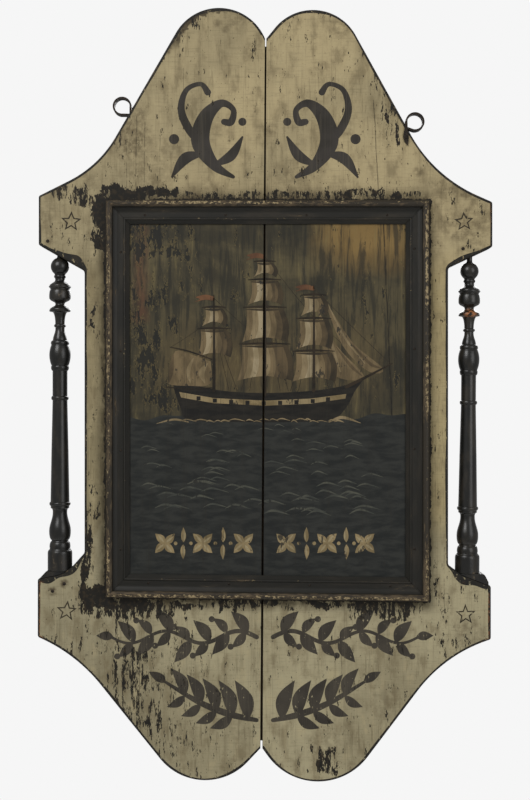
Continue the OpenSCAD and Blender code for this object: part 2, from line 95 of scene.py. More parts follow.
class Value:
    """What a node puts out. Arithmetic on it adds Math nodes to its tree."""

    def __init__(self, net, socket):
        self.net, self.socket = net, socket

    __add__ = __radd__ = arithmetic("ADD")
    __mul__ = __rmul__ = arithmetic("MULTIPLY")
    __sub__, __rsub__ = arithmetic("SUBTRACT"), arithmetic("SUBTRACT", swapped=True)
    __truediv__, __rtruediv__ = arithmetic("DIVIDE"), arithmetic("DIVIDE", swapped=True)

    def __abs__(self):
        return self.net.math("ABSOLUTE", self)

    def ramp(self, low, high, out_low=0.0, out_high=1.0, smooth=True):
        """Maps low..high to out_low..out_high, held at both ends."""
        inputs = {"Value": self, "From Min": low, "From Max": high, "To Min": out_low, "To Max": out_high}
        kind = "SMOOTHSTEP" if smooth else "LINEAR"
        return self.net.node("ShaderNodeMapRange", inputs, "Result", interpolation_type=kind)

    def fading(self, reach):
        """1 at zero and below, falling straight to 0 at the reach."""
        return 1.0 - self.net.math("DIVIDE", self, reach, clamp=True)

    def between(self, first, second):
        """A blend of two colours, with this value as the second's share."""
        return self.net.node("ShaderNodeMix", {"Factor": self, 6: first, 7: second}, 2, data_type="RGBA")

    def vector(self, operation, *others, output=0):
        return self.net.node("ShaderNodeVectorMath", enumerate((self, *others)), output, operation=operation)

    def scaled(self, x, y, z):
        return self.vector("MULTIPLY", (x, y, z))

    def axes(self):
        return [Value(self.net, part) for part in self.net.add("ShaderNodeSeparateXYZ", {0: self}).outputs]

    def noise(self, scale, detail=3.0, roughness=0.5, distortion=0.0, output="Fac"):
        inputs = {"Vector": self, "Scale": scale, "Detail": detail, "Roughness": roughness, "Distortion": distortion}
        return self.net.node("ShaderNodeTexNoise", inputs, output)

    def wobbled(self, scale, reach):
        """The place shifted by a noise, so that what is drawn from it gets an irregular outline."""
        shift = self.noise(scale, output="Color").vector("SUBTRACT", (0.5, 0.5, 0.5))
        return self.vector("ADD", shift.scaled(2 * reach, 0, 2 * reach))


class Net:
    """Adds nodes to one node tree."""

    def __init__(self, tree):
        self.tree = tree

    def feed(self, socket, value):
        if isinstance(value, Value):
            self.tree.links.new(value.socket, socket)
        else:
            socket.default_value = value

    def add(self, kind, inputs=(), **settings):
        made = self.tree.nodes.new(kind)
        for key, value in settings.items():
            setattr(made, key, value)
        for key, value in dict(inputs).items():
            self.feed(made.inputs[key], value)
        return made

    def node(self, kind, inputs=(), output=0, **settings):
        return Value(self, self.add(kind, inputs, **settings).outputs[output])

    def math(self, operation, *values, clamp=False):
        return self.node("ShaderNodeMath", enumerate(values), operation=operation, use_clamp=clamp)


def joined(x, y, z):
    return z.net.node("ShaderNodeCombineXYZ", {"X": x, "Y": y, "Z": z})


def largest(*values):
    return functools.reduce(lambda a, b: a.net.math("MAXIMUM", a, b), values)


def smallest(*values):
    return functools.reduce(lambda a, b: a.net.math("MINIMUM", a, b), values)


def toned(colour, *tones):
    """A colour with tones laid over it in turn, each through its mask and at its strength."""
    for mask, strength, shade in tones:
        colour = (mask * strength).between(colour, srgb(*shade))
    return colour


NUMBER, COLOUR, PLACE = "NodeSocketFloat", "NodeSocketColor", "NodeSocketVector"
KINDS = {"position": PLACE, "place": PLACE, "middle": PLACE, "paint": COLOUR, "colour": COLOUR}


def shared_effect(*outputs):
    """Builds a node group, once, from a function: its inputs are the function's, and its outputs are named here.

    Calling the function afterwards adds the group to the tree of its first value, and gives what the group puts out.
    """

    def build(effect):
        inputs = list(inspect.signature(effect).parameters)
        tree = bpy.data.node_groups.new(effect.__name__, "ShaderNodeTree")
        for labels, way in ((inputs, "INPUT"), (outputs, "OUTPUT")):
            for label in labels:
                tree.interface.new_socket(label, in_out=way, socket_type=KINDS.get(label, NUMBER))
        net = Net(tree)
        given = net.add("NodeGroupInput").outputs
        results = effect(*(Value(net, given[label]) for label in inputs))
        net.add("NodeGroupOutput", zip(outputs, results if len(outputs) > 1 else [results]))

        def use(*values):
            net = values[0].net
            made = net.add("ShaderNodeGroup", zip(inputs, values), node_tree=tree).outputs
            results = [Value(net, made[label]) for label in outputs]
            return results if len(results) > 1 else results[0]

        return use

    return build


@shared_effect("place")
def place_on_face(position):
    """A place in the model as a place on its face: u, v as seen from that face, and its own pattern per face."""
    x, y, z = position.axes()
    side = y.net.math("SIGN", y)
    return joined(x * side * -1.0, side * 3.0, z)


@shared_effect("mask")
def patch(place, middle, half_width, half_height, softness):
    """A soft-edged rectangle on the face: 1 inside, 0 outside."""
    dx, _, dz = place.vector("SUBTRACT", middle).axes()
    return (abs(dx) - half_width).fading(softness) * (abs(dz) - half_height).fading(softness)


@shared_effect("mask")
def spot(place, middle, radius):
    """A round mark: 1 in its middle, fading to 0 at its radius."""
    far = place.vector("SUBTRACT", middle).scaled(1, 0, 1).vector("LENGTH", output="Value")
    return (far / radius).ramp(1.0, 0.35)


@shared_effect("lost", "rim")
def flaking(place, loss, size, stretch):
    """Flakes lost from a brittle coat, longer along the grain. Loss is the share lost."""
    x, y, z = place.axes()
    drawn_out = joined(x, y, z * stretch)
    chips = place.net.node("ShaderNodeTexVoronoi", {"Vector": drawn_out, "Scale": 230.0 / size}, "Position")
    coarse = chips.noise(40.0 / size, 5.0, 0.62)
    fine = drawn_out.noise(260.0 / size, 3.0, 0.6)
    above = coarse * 0.76 + fine * 0.24 - loss.ramp(0.0, 1.0, 0.70, 0.34, smooth=False)
    present = loss.ramp(0.01, 0.06)
    lost = above.ramp(0.0, 0.008) * present
    wide = above.ramp(-0.02, 0.0) * present
    return lost, place.net.math("SUBTRACT", wide, lost, clamp=True)


@shared_effect("streaks", "height")
def grain(place):
    """Wood grain that shows through paint: fine upright streaks and brush marks."""
    fine = place.scaled(420, 1, 7).noise(1.0, 4.0, 0.65)
    broad = place.scaled(60, 1, 1.6).noise(1.0, 3.0, 0.55)
    return fine * 0.55 + broad * 0.45, fine


@shared_effect("mask")
def upright_line(place, across, low, high, width, lean, broken):
    """A thin upright line that wanders a little, such as a hairline split."""
    x, _, z = place.axes()
    wander = (place.scaled(0, 1, 1).noise(22.0, 2.0) - 0.5) * 0.004
    off = abs(x - (across + wander + (z - low) * lean))
    inside = z.net.math("GREATER_THAN", z, low) * z.net.math("LESS_THAN", z, high)
    gaps = place.noise(60.0, 2.0).ramp(0.38, 0.5)
    return off.fading(width) * inside * largest(gaps, 1.0 - broken)


@shared_effect("inwards")
def in_from_frame(position):
    """How far a place lies inwards of the frame's outer edges, in metres. It is negative outside them."""
    x, _, z = position.axes()
    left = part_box("front_frame_left")[0]
    right_low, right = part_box("front_frame_right")
    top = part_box("front_frame_top")[1]
    low_edge = (x - left.x) * ((right_low.z - left.z) / (right.x - left.x)) + left.z
    return smallest(x - left.x, right.x - x, top.z - z, z - low_edge)


# Where the cream has flaked off in patches: middle u, v, half width, half height, softness, share lost
FLAKED = [
    (-304, 362, 26, 26, 20, 0.9), (-322, 318, 11, 30, 16, 0.7), (-268, 392, 46, 8, 16, 0.86),
    (-196, 391, 24, 7, 16, 0.8), (-92, 390, 60, 4, 14, 0.6), (60, 390, 60, 4, 14, 0.54), (205, 390, 60, 6, 16, 0.62),
    (-335, 204, 3, 6, 9, 0.64), (-335, 168, 2, 4, 8, 0.62), (-334, 140, 2, 6, 8, 0.58), (-333, -188, 5, 9, 9, 0.66),
    (-345, -270, 3, 12, 9, 0.62), (-351, -350, 9, 58, 14, 0.66), (-328, -404, 22, 16, 18, 0.86),
    (-262, -412, 60, 10, 20, 0.66), (-170, -416, 40, 6, 18, 0.62), (-30, -410, 60, 5, 16, 0.66),
    (150, -412, 60, 5, 16, 0.66), (236, -420, 44, 10, 18, 0.6), (118, -722, 22, 24, 14, 0.6),
    (244, 520, 12, 34, 18, 0.46), (-171, 708, 8, 20, 14, 0.5),
]

# Where it has gone in fine upright flecks
FLECKED = [
    (-266, -560, 34, 60, 34, 0.52), (-232, -625, 34, 46, 30, 0.48), (-215, -560, 70, 84, 50, 0.34),
    (-300, -470, 36, 40, 30, 0.38), (-350, -350, 10, 76, 18, 0.52), (-250, -424, 76, 16, 18, 0.62),
    (-400, 392, 18, 12, 14, 0.56), (-364, 388, 16, 14, 14, 0.6), (236, 600, 12, 44, 18, 0.46),
    (250, 530, 12, 50, 18, 0.42), (-146, 740, 26, 10, 12, 0.52), (-286, 520, 12, 30, 18, 0.46),
    (90, 744, 60, 6, 14, 0.36), (-334, 140, 3, 40, 8, 0.48), (-332, -225, 4, 18, 8, 0.5),
    (-395, -490, 44, 16, 20, 0.4), (-178, -676, 34, 26, 26, 0.4), (-110, -740, 60, 14, 24, 0.36),
    (385, -500, 44, 14, 20, 0.38), (345, -420, 8, 56, 14, 0.42), (0, 388, 306, 6, 12, 0.5),
    (0, -412, 306, 4, 12, 0.5), (230, -420, 50, 20, 16, 0.62),
]

# Hairline splits in the cream: u at the lower end, from v, to v, width, lean, how broken
HAIRLINES = [
    (-253, 395, 545, 1.0, 0.01, 1.0), (-237, 400, 540, 0.8, 0.01, 1.0), (-247, -640, -500, 0.9, 0.01, 1.0),
    (-206, 420, 520, 0.6, 0.01, 1.0), (-271, 400, 500, 0.6, 0.0, 1.0), (223, 395, 577, 1.3, -0.053, 0.3),
    (352, -430, -300, 0.7, 0.0, 1.0), (150, -600, -480, 0.6, 0.0, 1.0), (-160, 560, 640, 0.5, 0.0, 1.0),
]

# Dark stains round nails and knots: u, v, radius, strength
STAINS = [
    (-424.6, 300, 10, 0.5), (388.7, 286.7, 9, 0.5), (388, -368, 11, 0.6), (-417, -387, 12, 0.95),
    (-394, -372, 12, 0.95), (205, 690, 30, 0.55), (150, 722, 34, 0.45), (115, 640, 18, 0.35), (-191, 676, 14, 0.7),
    (-179, 696, 16, 0.9), (-167, 716, 17, 0.9), (-151, 735, 17, 0.9), (-124, 754, 15, 0.8), (-90, 764, 13, 0.6),
    (-60, 762, 14, 0.8), (-36, 745, 13, 0.8), (-92, 727, 12, 0.5), (-76, 716, 12, 0.5), (-60, 735, 34, 0.35),
    (-120, 520, 60, 0.22), (160, 520, 24, 0.3), (-250, 545, 24, 0.5), (-180, 480, 30, 0.35), (372, 330, 44, 0.42),
    (-425, 350, 40, 0.3), (-365, -410, 34, 0.15), (-365, -440, 50, 0.1), (400, -470, 40, 0.35), (-60, -640, 70, 0.2),
    (120, -690, 60, 0.25), (236, -600, 50, 0.25), (15, 520, 16, 0.5), (-262, 500, 60, 0.58), (-230, 440, 70, 0.3),
    (400, 330, 64, 0.45), (345, 400, 40, 0.3), (262, 560, 30, 0.45), (-120, 380, 60, 0.3), (-395, 250, 30, 0.35),
    (420, 280, 26, 0.4), (301, 436, 14, 0.55), (372, 407, 26, 0.5), (396, 394, 20, 0.5), (415, 375, 22, 0.4),
    (417, 318, 26, 0.4), (330, 290, 40, 0.25), (-410, 230, 26, 0.35), (-345, 420, 30, 0.3), (60, 396, 90, 0.25),
]

# Where brown wood shows through the border: u, v, half height, strength
BROWNED_EDGES = [(-442, -462, 20, 0.9), (-442, -410, 40, 0.5), (441, -440, 45, 0.7), (444, 350, 20, 0.4)]


def share_lost(place, spots):
    """The share of the coat that is lost at a place, from a list of worn spots."""
    return largest(*(
        patch(place, mm(u, v), wide / 1000, high / 1000, soft / 1000) * share for u, v, wide, high, soft, share in spots
    ))


@shared_effect("colour", "height", "lost")
def cream_face(position):
    """The cream coat on both faces: grain, dirt, stains, hairlines and flakes down to the black undercoat."""
    place = place_on_face(position)
    outwards = in_from_frame(position) * -1.0
    x, _, z = place.axes()
    streaks, relief = grain(place)
    cloudy = place.scaled(1, 1, 0.8).noise(5.0, 4.0, 0.55)
    mottled = place.scaled(1, 1, 0.55).noise(34.0, 5.0, 0.6)
    weave = place.scaled(26, 1, 300).noise(1.0, 3.0, 0.6)
    drips = place.scaled(150, 1, 14).noise(1.0, 4.0, 0.65)
    smudged = drips.ramp(0.54, 0.66) * cloudy.ramp(0.36, 0.60, 0.25, 1.0)
    waist = abs(z).ramp(0.30, 0.22)

    # The cream is darker, unevenly, over and under the frame, and a little beside it
    over_or_under = abs(x).ramp(0.335, 0.315, 0.15, 1.0)
    near_frame = largest(outwards.ramp(0.034, 0.003) * over_or_under, outwards.ramp(0.013, 0.001, 0.0, 0.7))
    grimy = near_frame * place.scaled(1, 1, 0.5).noise(60.0, 4.0, 0.65).ramp(0.30, 0.56, 0.35, 1.0)
    stains = largest(*(spot(place, mm(u, v), radius / 1000) * strength for u, v, radius, strength in STAINS))

    # The left crest's rim is browned in a ragged band
    crest = spot(place.wobbled(70.0, 0.016), mm(-88, 672), 0.1)
    browned = crest.ramp(0.29, 0.22) * patch(place, mm(-150, 735), 0.06, 0.04, 0.02)

    colour = toned(
        z.ramp(0.45, -0.5).between(CREAM, CREAM_LOW),
        (cloudy.ramp(0.42, 0.66), 0.6, (122, 113, 88)),
        (x.ramp(-0.05, -0.36), 0.42, (124, 117, 94)),
        (x.ramp(0.29, 0.34) * waist, 0.5, (172, 154, 108)),
        (x.ramp(-0.29, -0.34) * waist, 0.32, (118, 102, 66)),
        (mottled.ramp(0.46, 0.68), 0.62, (108, 96, 71)),
        (mottled.ramp(0.46, 0.28), 0.5, (172, 158, 122)),
        (streaks.ramp(0.50, 0.68), 0.42, (102, 92, 70)),
        (streaks.ramp(0.46, 0.34), 0.34, (176, 162, 126)),
        (weave.ramp(0.50, 0.68), 0.24, (104, 96, 74)),
        (smudged, 0.42, (90, 80, 58)),
        (grimy, 0.85, (60, 52, 37)),
        (stains, place.noise(70.0, 4.0, 0.6).ramp(0.34, 0.62), (64, 52, 36)),
        (browned, 0.8, (50, 42, 31)),
        (place.scaled(1, 1, 0.6).noise(300.0, 2.0, 0.5).ramp(0.675, 0.72), 0.8, (66, 54, 38)),
    )

    ragged = (place.scaled(1, 1, 0.6).noise(90.0, 4.0, 0.7) - 0.5) * 0.018
    beside_frame = (outwards + ragged).ramp(0.0052, 0.0044)
    irregular = place.wobbled(22.0, 0.024)
    flakes, rim = flaking(place, share_lost(irregular, FLAKED), 0.6, 0.34)
    flecks, _ = flaking(place, share_lost(irregular, FLECKED), 0.34, 0.22)
    stray, _ = flaking(place, z.ramp(0.42, 0.48, 0.23, 0.195), 0.36, 0.3)
    lost = largest(flakes, flecks, stray, beside_frame)
    splits = largest(*(
        upright_line(place, u / 1000, low / 1000, high / 1000, width / 1000, lean, broken)
        for u, low, high, width, lean, broken in HAIRLINES
    ))
    colour = toned(colour, (rim, 0.5, (160, 148, 116)))
    colour = lost.between(colour, place.noise(120.0, 3.0).ramp(0.46, 0.66).between(UNDERCOAT, srgb(50, 43, 33)))
    colour = toned(colour, (splits, 0.9, (34, 29, 23)))
    # The relief leaves the lists of spots out, since a bump that holds them is too long for the renderer
    return colour, relief * 0.25 - stray, lost


@shared_effect("colour", "height", "bare")
def rubbed_paint(position, paint, rubbed, chipped, along_x, along_z):
    """Dark paint that is rubbed through to brown wood, with chips that show a pale ground. On the mouldings' bead
    crowns the pale chips are partly a painted highlight.
    """
    x, y, z = position.axes()
    drawn_out = joined(x * along_x, y, z * along_z)
    coarse = drawn_out.noise(55.0, 5.0, 0.62)
    fine = drawn_out.noise(260.0, 4.0, 0.6)
    bare = (coarse * 0.6 + fine * 0.4 - rubbed.ramp(0.0, 1.0, 0.72, 0.36, smooth=False)).ramp(0.0, 0.05)
    wood = fine.ramp(0.4, 0.62).between(srgb(48, 41, 32), srgb(88, 75, 56))
    colour = (bare * 0.8).between(coarse.ramp(0.42, 0.72).between(paint, srgb(46, 42, 35)), wood)
    # Chips are less drawn out along the rail than the wear
    stubby = position.vector("ADD", drawn_out).noise(120.0, 5.0, 0.75)
    chips = (stubby - chipped.ramp(0.0, 1.0, 0.74, 0.40, smooth=False)).ramp(0.0, 0.016) * chipped.ramp(0.01, 0.05)
    return chips.between(colour, srgb(150, 133, 100)), fine * 0.3 - (bare + chips), bare


# Materials


def new_material(name):
    """A material, and the place in the model that its nodes start from."""
    made = bpy.data.materials.new(name)
    made.use_nodes = True
    return made, Net(made.node_tree).node("ShaderNodeTexCoord", output="Object")


def finished(made, colour, roughness, specular, height, depth, strength):
    """Feeds the material's shader. Depth is the relief's, in metres."""
    net, shader = Net(made.node_tree), made.node_tree.nodes["Principled BSDF"].inputs
    net.feed(shader["Base Color"], colour)
    net.feed(shader["Roughness"], roughness)
    shader["Specular IOR Level"].default_value = specular
    net.feed(shader["Normal"], net.node("ShaderNodeBump", {"Height": height, "Distance": depth, "Strength": strength}))
    return made


def make_plank_paint():
    """Cream on the flat faces, worn black on the planks' edges."""
    made, position = new_material("cream_paint_on_planks")
    cream, height, lost = cream_face(position)
    edge, _, _ = rubbed_paint(position, BLACK_PAINT, 0.50, 0.20, 0.7, 0.35)
    _, y, _ = position.net.node("ShaderNodeNewGeometry", output="True Normal").axes()
    on_face = y.net.math("GREATER_THAN", abs(y), 0.97)
    return finished(made, on_face.between(edge, cream), lost.ramp(0.0, 1.0, 0.66, 0.56), 0.14, height, 0.0004, 0.8)


def make_border_paint():
    """The black border round the planks, worn to the cream and here and there to brown wood."""
    made, position = new_material("black_border_paint")
    place = place_on_face(position)
    cream, _, _ = cream_face(position)
    paint, height, _ = rubbed_paint(position, BLACK_PAINT, 0.12, 0.0, 1.0, 0.6)
    worn = place.scaled(1, 1, 0.6).noise(150.0, 4.0, 0.6).ramp(0.59, 0.64)
    blotchy = place.noise(190.0, 4.0).ramp(0.40, 0.54)
    colour = toned(worn.between(paint, cream), *(
        (patch(place, mm(u, v), 0.004, half_height / 1000, 0.006) * blotchy, strength, (116, 76, 48))
        for u, v, half_height, strength in BROWNED_EDGES
    ))
    return finished(made, colour, 0.55, 0.15, height, 0.0003, 0.5)


def make_motif_paint(name, dark, light, wear):
    """Thin brushed paint of one motif on the cream, worn through here and there."""
    made, position = new_material(name)
    place = place_on_face(position)
    cream, height, lost = cream_face(position)
    streaks, _ = grain(place)
    colour = place.noise(16.0, 3.0).ramp(0.35, 0.65).between(srgb(*dark), srgb(*light))
    colour = toned(colour, (streaks.ramp(0.48, 0.64), 0.5, (84, 78, 66)))
    gone = (place.scaled(1, 1, 0.5).noise(210.0, 4.0, 0.6) + streaks * 0.3).ramp(0.88 - wear, 0.94 - wear)
    return finished(made, largest(gone, lost).between(colour, cream), 0.6, 0.15, height, 0.0003, 0.6)


def make_sky_paint():
    """The picture's olive sky, warm at the top right, streaked along the grain and flaked on the left."""
    made, position = new_material("painted_sky")
    place = place_on_face(position)
    x, _, z = place.axes()
    streaks, relief = grain(place)
    clouds = place.scaled(1, 1, 1.8).noise(6.0, 5.0, 0.6, 0.6)
    warm = patch(place.wobbled(12.0, 0.03), mm(196, 312), 0.05, 0.02, 0.07)
    glow = patch(place.wobbled(9.0, 0.05), mm(10, 60), 0.16, 0.0, 0.10)
    red = patch(place.wobbled(30.0, 0.012), mm(-244, 236), 0.004, 0.09, 0.016)
    drips = place.scaled(60, 1, 7).noise(1.0, 5.0, 0.66, 0.4)
    flaked_left = x.ramp(-0.06, -0.22) * z.ramp(-0.10, 0.0) * 0.46
    flakes, rim = flaking(place, largest(flaked_left, 0.22), 0.7, 0.36)
    split = upright_line(place, 0.2533, -0.13, 0.34, 0.0019, -0.044, 0.4)
    colour = toned(
        clouds.ramp(0.36, 0.64).between(srgb(54, 50, 38), srgb(84, 76, 54)),
        (warm, 0.64, (140, 112, 64)),
        (z.ramp(0.30, -0.03), 0.45, (56, 52, 39)),
        (glow, 0.30, (112, 92, 58)),
        (red, 0.55, (92, 60, 42)),
        (drips.ramp(0.47, 0.60), 0.75, (38, 37, 31)),
        (drips.ramp(0.44, 0.32), 0.45, (110, 98, 64)),
        (streaks.ramp(0.50, 0.64), 0.5, (38, 35, 28)),
        (rim, 0.6, (112, 98, 62)),
        (flakes, 0.9, (31, 31, 28)),
        (split, 1.0, (20, 18, 15)),
    )
    return finished(made, colour, 0.5, 0.2, relief * 0.4 - flakes, 0.0003, 0.7)


def make_picture_paint(name, dark, light, scale=(1, 1, 1), wear=0.30, glow=None):
    """Opaque oil paint of one part of the picture, brushed from dark to light and crackled by the wood below."""
    made, position = new_material(name)
    place = place_on_face(position)
    streaks, relief = grain(place)
    flakes, _ = flaking(place, wear, 0.8, 0.4)
    brushed = place.scaled(*scale).noise(24.0, 5.0, 0.6, 0.4)
    colour = brushed.ramp(0.36, 0.64).between(srgb(*dark), srgb(*light))
    if glow:
        colour = toned(colour, (place.noise(9.0, 3.0).ramp(0.45, 0.62), 0.6, glow))
    colour = toned(colour, (streaks.ramp(0.50, 0.64), 0.45, (40, 38, 33)), (flakes, 0.85, (38, 37, 34)))
    return finished(made, colour, 0.5, 0.2, relief * 0.4 - flakes, 0.0003, 0.6)


def make_frame_paint(lie, along_x, along_z):
    """Black paint on the moulding: the outer bead is rubbed to brown wood, with pale chips on its crown that are partly
    a painted highlight; the hollow is dark.
    """
    made, position = new_material(f"black_paint_on_{lie}_moulding")
    inwards = in_from_frame(position)
    x, _, z = position.axes()
    edge = inwards.ramp(-0.001, 0.001) * inwards.ramp(0.0040, 0.0025)
    bead = inwards.ramp(-0.001, 0.002) * inwards.ramp(0.0145, 0.0115)
    crown = inwards.ramp(0.0010, 0.0030) * inwards.ramp(0.0105, 0.0075)
    hollow = inwards.ramp(0.0145, 0.0180) * inwards.ramp(0.0330, 0.0300)
    small_bead = inwards.ramp(0.0330, 0.0345) * inwards.ramp(0.0385, 0.0370)
    patchy = position.noise(9.0, 4.0).ramp(0.40, 0.60)
    low = z.ramp(-0.3, -0.38)
    busy = largest(x.ramp(0.0, -0.29) * 0.8, low)
    bared = patch(position, mm(316, 250), 0.02, 0.075, 0.04)
    rubbed = bead * (0.42 + patchy * 0.32 + busy * 0.22) + small_bead * 0.36 + hollow * (0.20 + busy * 0.14) + 0.05
    # The crown of the outer bead gets pale marks all along, strongest on the bottom rail and on one stretch of the
    # right rail: partly chips to a pale ground, partly a painted highlight along the bead
    chipped = largest(
        crown * (0.33 + patchy * 0.34), edge * (0.26 + busy * 0.20), small_bead * (0.10 + patchy * 0.28),
        crown * low * 0.62, crown * bared * 0.74,
    )
    paint = (bead * 0.8).between(srgb(31, 30, 26), srgb(50, 44, 35))
    colour, height, bare = rubbed_paint(position, paint, rubbed, chipped, along_x, along_z)
    return finished(made, colour, bare.ramp(0.0, 1.0, 0.45, 0.62), 0.24, height, 0.0005, 0.9)


def make_column_paint():
    """Satin black on the turned wood, rubbed on the widest rings, with one chipped ring on the right."""
    made, position = new_material("black_paint_on_turned_wood")
    x, y, z = position.axes()
    out_x = abs(x) - COLUMN_AXIS
    radius = x.net.math("SQRT", out_x * out_x + y * y)
    rubbed = 0.14 + radius.ramp(0.016, 0.0235) * 0.22
    paint, height, bare = rubbed_paint(position, srgb(24, 24, 22), rubbed, 0.06, 1.0, 0.4)
    chip = spot(position, CHIPPED_RING, 0.016) * position.noise(160.0, 3.0).ramp(0.42, 0.5)
    colour = toned(paint, (chip, z.ramp(0.150, 0.154), (150, 98, 60)))
    return finished(made, colour, bare.ramp(0.0, 1.0, 0.30, 0.55), 0.42, height, 0.0003, 0.6)


def make_iron():
    """Dark hammered iron with light rust."""
    made, position = new_material("forged_iron")
    rust = position.noise(420.0, 4.0, 0.6).ramp(0.46, 0.62)
    metallic = made.node_tree.nodes["Principled BSDF"].inputs["Metallic"]
    rust.net.feed(metallic, rust.ramp(0.0, 1.0, 0.7, 0.15))
    colour = rust.between(srgb(38, 35, 31), srgb(54, 43, 33))
    height = position.noise(180.0, 3.0, 0.5) + rust * 0.4
    return finished(made, colour, rust.ramp(0.0, 1.0, 0.5, 0.75), 0.3, height, 0.0004, 0.7)


def make_bare_wood():
    """Unpainted pine, dark inside the seam."""
    made, position = new_material("bare_pine")
    lines = position.scaled(300, 60, 6).noise(1.0, 4.0, 0.6)
    colour = lines.ramp(0.35, 0.65).between(srgb(44, 36, 27), srgb(86, 68, 46))
    return finished(made, colour, 0.8, 0.5, lines, 0.0003, 0.6)


plank_paint = make_plank_paint()
border_paint = make_border_paint()
motif_paint = make_motif_paint("dark_grey_motif_paint", (46, 43, 38), (58, 54, 50), 0.04)
faded_motif_paint = make_motif_paint("faded_grey_motif_paint", (52, 48, 42), (66, 61, 53), 0.10)
star_paint = make_motif_paint("thin_star_paint", (38, 34, 27), (56, 50, 38), 0.14)
sky_paint = make_sky_paint()
sea_paint = make_picture_paint("painted_sea", (30, 32, 31), (46, 47, 44), (1, 1, 3.5), 0.14)
sea_crest_paint = make_picture_paint("painted_wave_crests", (54, 56, 52), (78, 78, 68), (1, 1, 3.0), 0.34)
hull_paint = make_picture_paint("painted_hull", (22, 21, 19), (36, 33, 28), (1, 1, 4.0), 0.12)
SAIL_COLOURS = {
    "deep_shade": ((46, 40, 30), (66, 56, 40)),
    "shade": ((66, 56, 40), (90, 76, 54)),
    "middle": ((88, 75, 53), (112, 96, 69)),
    "light": ((108, 94, 68), (132, 116, 87)),
    "bright": ((128, 114, 86), (150, 136, 108)),
}
TONES = list(SAIL_COLOURS)
sail_paints = {
    tone: make_picture_paint("sail_paint_" + tone, *colours, (1.6, 1, 0.8)) for tone, colours in SAIL_COLOURS.items()
}
spar_paint = make_picture_paint("painted_spars", (28, 24, 18), (48, 39, 28), wear=0.16)
ochre_paint = make_picture_paint("painted_ochre", (104, 90, 62), (142, 125, 91), wear=0.36, glow=(132, 118, 88))
pale_ochre_paint = make_picture_paint("painted_pale_ochre", (134, 121, 92), (150, 137, 106), wear=0.36)
pennant_paint = make_picture_paint("painted_pennants", (80, 54, 38), (104, 72, 48))
upright_rail_paint = make_frame_paint("upright", 1.0, 0.22)
level_rail_paint = make_frame_paint("level", 0.22, 1.0)
column_paint = make_column_paint()
iron = make_iron()

# The finish of each CAD piece, by a word in its name. The rest are iron.
FINISHES = {
    "plank": plank_paint, "frame_left": upright_rail_paint, "frame_right": upright_rail_paint,
    "frame_top": level_rail_paint, "frame_bottom": level_rail_paint, "column": column_paint, "plinth": column_paint,
    "tongue": make_bare_wood(),
}
for name, node in NODES.items():
    finish = next((paint for word, paint in FINISHES.items() if word in name), iron)
    for slot in node.material_slots:
        slot.material = finish
    if not node.material_slots:
        node.data.materials.append(finish)


# Thin layers of paint on the faces

PLANKS = {"left_plank": -1, "right_plank": 1}
SEAM_MARGIN = 0.3  # millimetres between the seam's edge and the paint
PAINT_ROOT = -0.00006  # metres: the paint starts just inside the face
SHAPE_STEP = 0.0015  # millimetres: each shape of a layer lies this much above the one before
NEAR_FACE = 1e-5  # metres: corners this near to a face are on it


def seam_line(plank, side):
    """The ends of one plank's seam edge on a face: its innermost corners in the crest and in the lower lobe."""
    inwards = -PLANKS[plank]
    corners = [v.co for v in NODES[plank].data.vertices if abs(v.co.y - side * FACE) < NEAR_FACE]
    return [max((c for c in corners if way * c.z > 0.6), key=lambda c: inwards * c.x) for way in (1, -1)]


SEAMS = {(plank, side): seam_line(plank, side) for plank in PLANKS for side in (FRONT, BACK)}


def seam_x(plank, side, v):
    """Where the seam edge of a plank lies at height v, in millimetres, seen from the front."""
    top, low = SEAMS[plank, side]
    share = (v / 1000 - low.z) / (top.z - low.z)
    return 1000 * (low.x + (top.x - low.x) * share)


def clipped(loop, keep):
    """The part of a closed outline where keep is positive."""
    kept = []
    for here, there in zip(loop, loop[1:] + loop[:1]):
        a, b = keep(here), keep(there)
        if a >= 0:
            kept.append(here)
        if (a >= 0) != (b >= 0):
            share = a / (a - b)
            kept.append(tuple(a + (b - a) * share for a, b in zip(here, there)))
    return kept


def split_at_seam(loop, side):
    """The outline's parts on the left and on the right plank, clear of the open seam."""
    parts = [
        clipped(loop, lambda p: way * (-side * p[0] - seam_x(plank, side, p[1])) - SEAM_MARGIN)
        for plank, way in PLANKS.items()
    ]
    return [part for part in parts if len(part) > 2]


def filled(shape, low, high):
    """A mesh of one flat shape, an outline with any holes, between two heights above the face."""
    curve = bpy.data.curves.new("shape", "CURVE")
    curve.dimensions = "2D"
    curve.fill_mode = "BOTH"
    curve.extrude = (high - low) / 2
    for loop in shape:
        spline = curve.splines.new("POLY")
        spline.points.add(len(loop) - 1)
        for point, (u, v) in zip(spline.points, loop):
            point.co = (u / 1000, v / 1000, 0, 1)
        spline.use_cyclic_u = True
    holder = bpy.data.objects.new("shape", curve)
    bpy.context.scene.collection.objects.link(holder)
    mesh = bpy.data.meshes.new_from_object(holder.evaluated_get(bpy.context.evaluated_depsgraph_get()))
    bpy.data.objects.remove(holder)
    bpy.data.curves.remove(curve)
    mesh.transform(Matrix.Translation((0, 0, (high + low) / 2)))
    return mesh


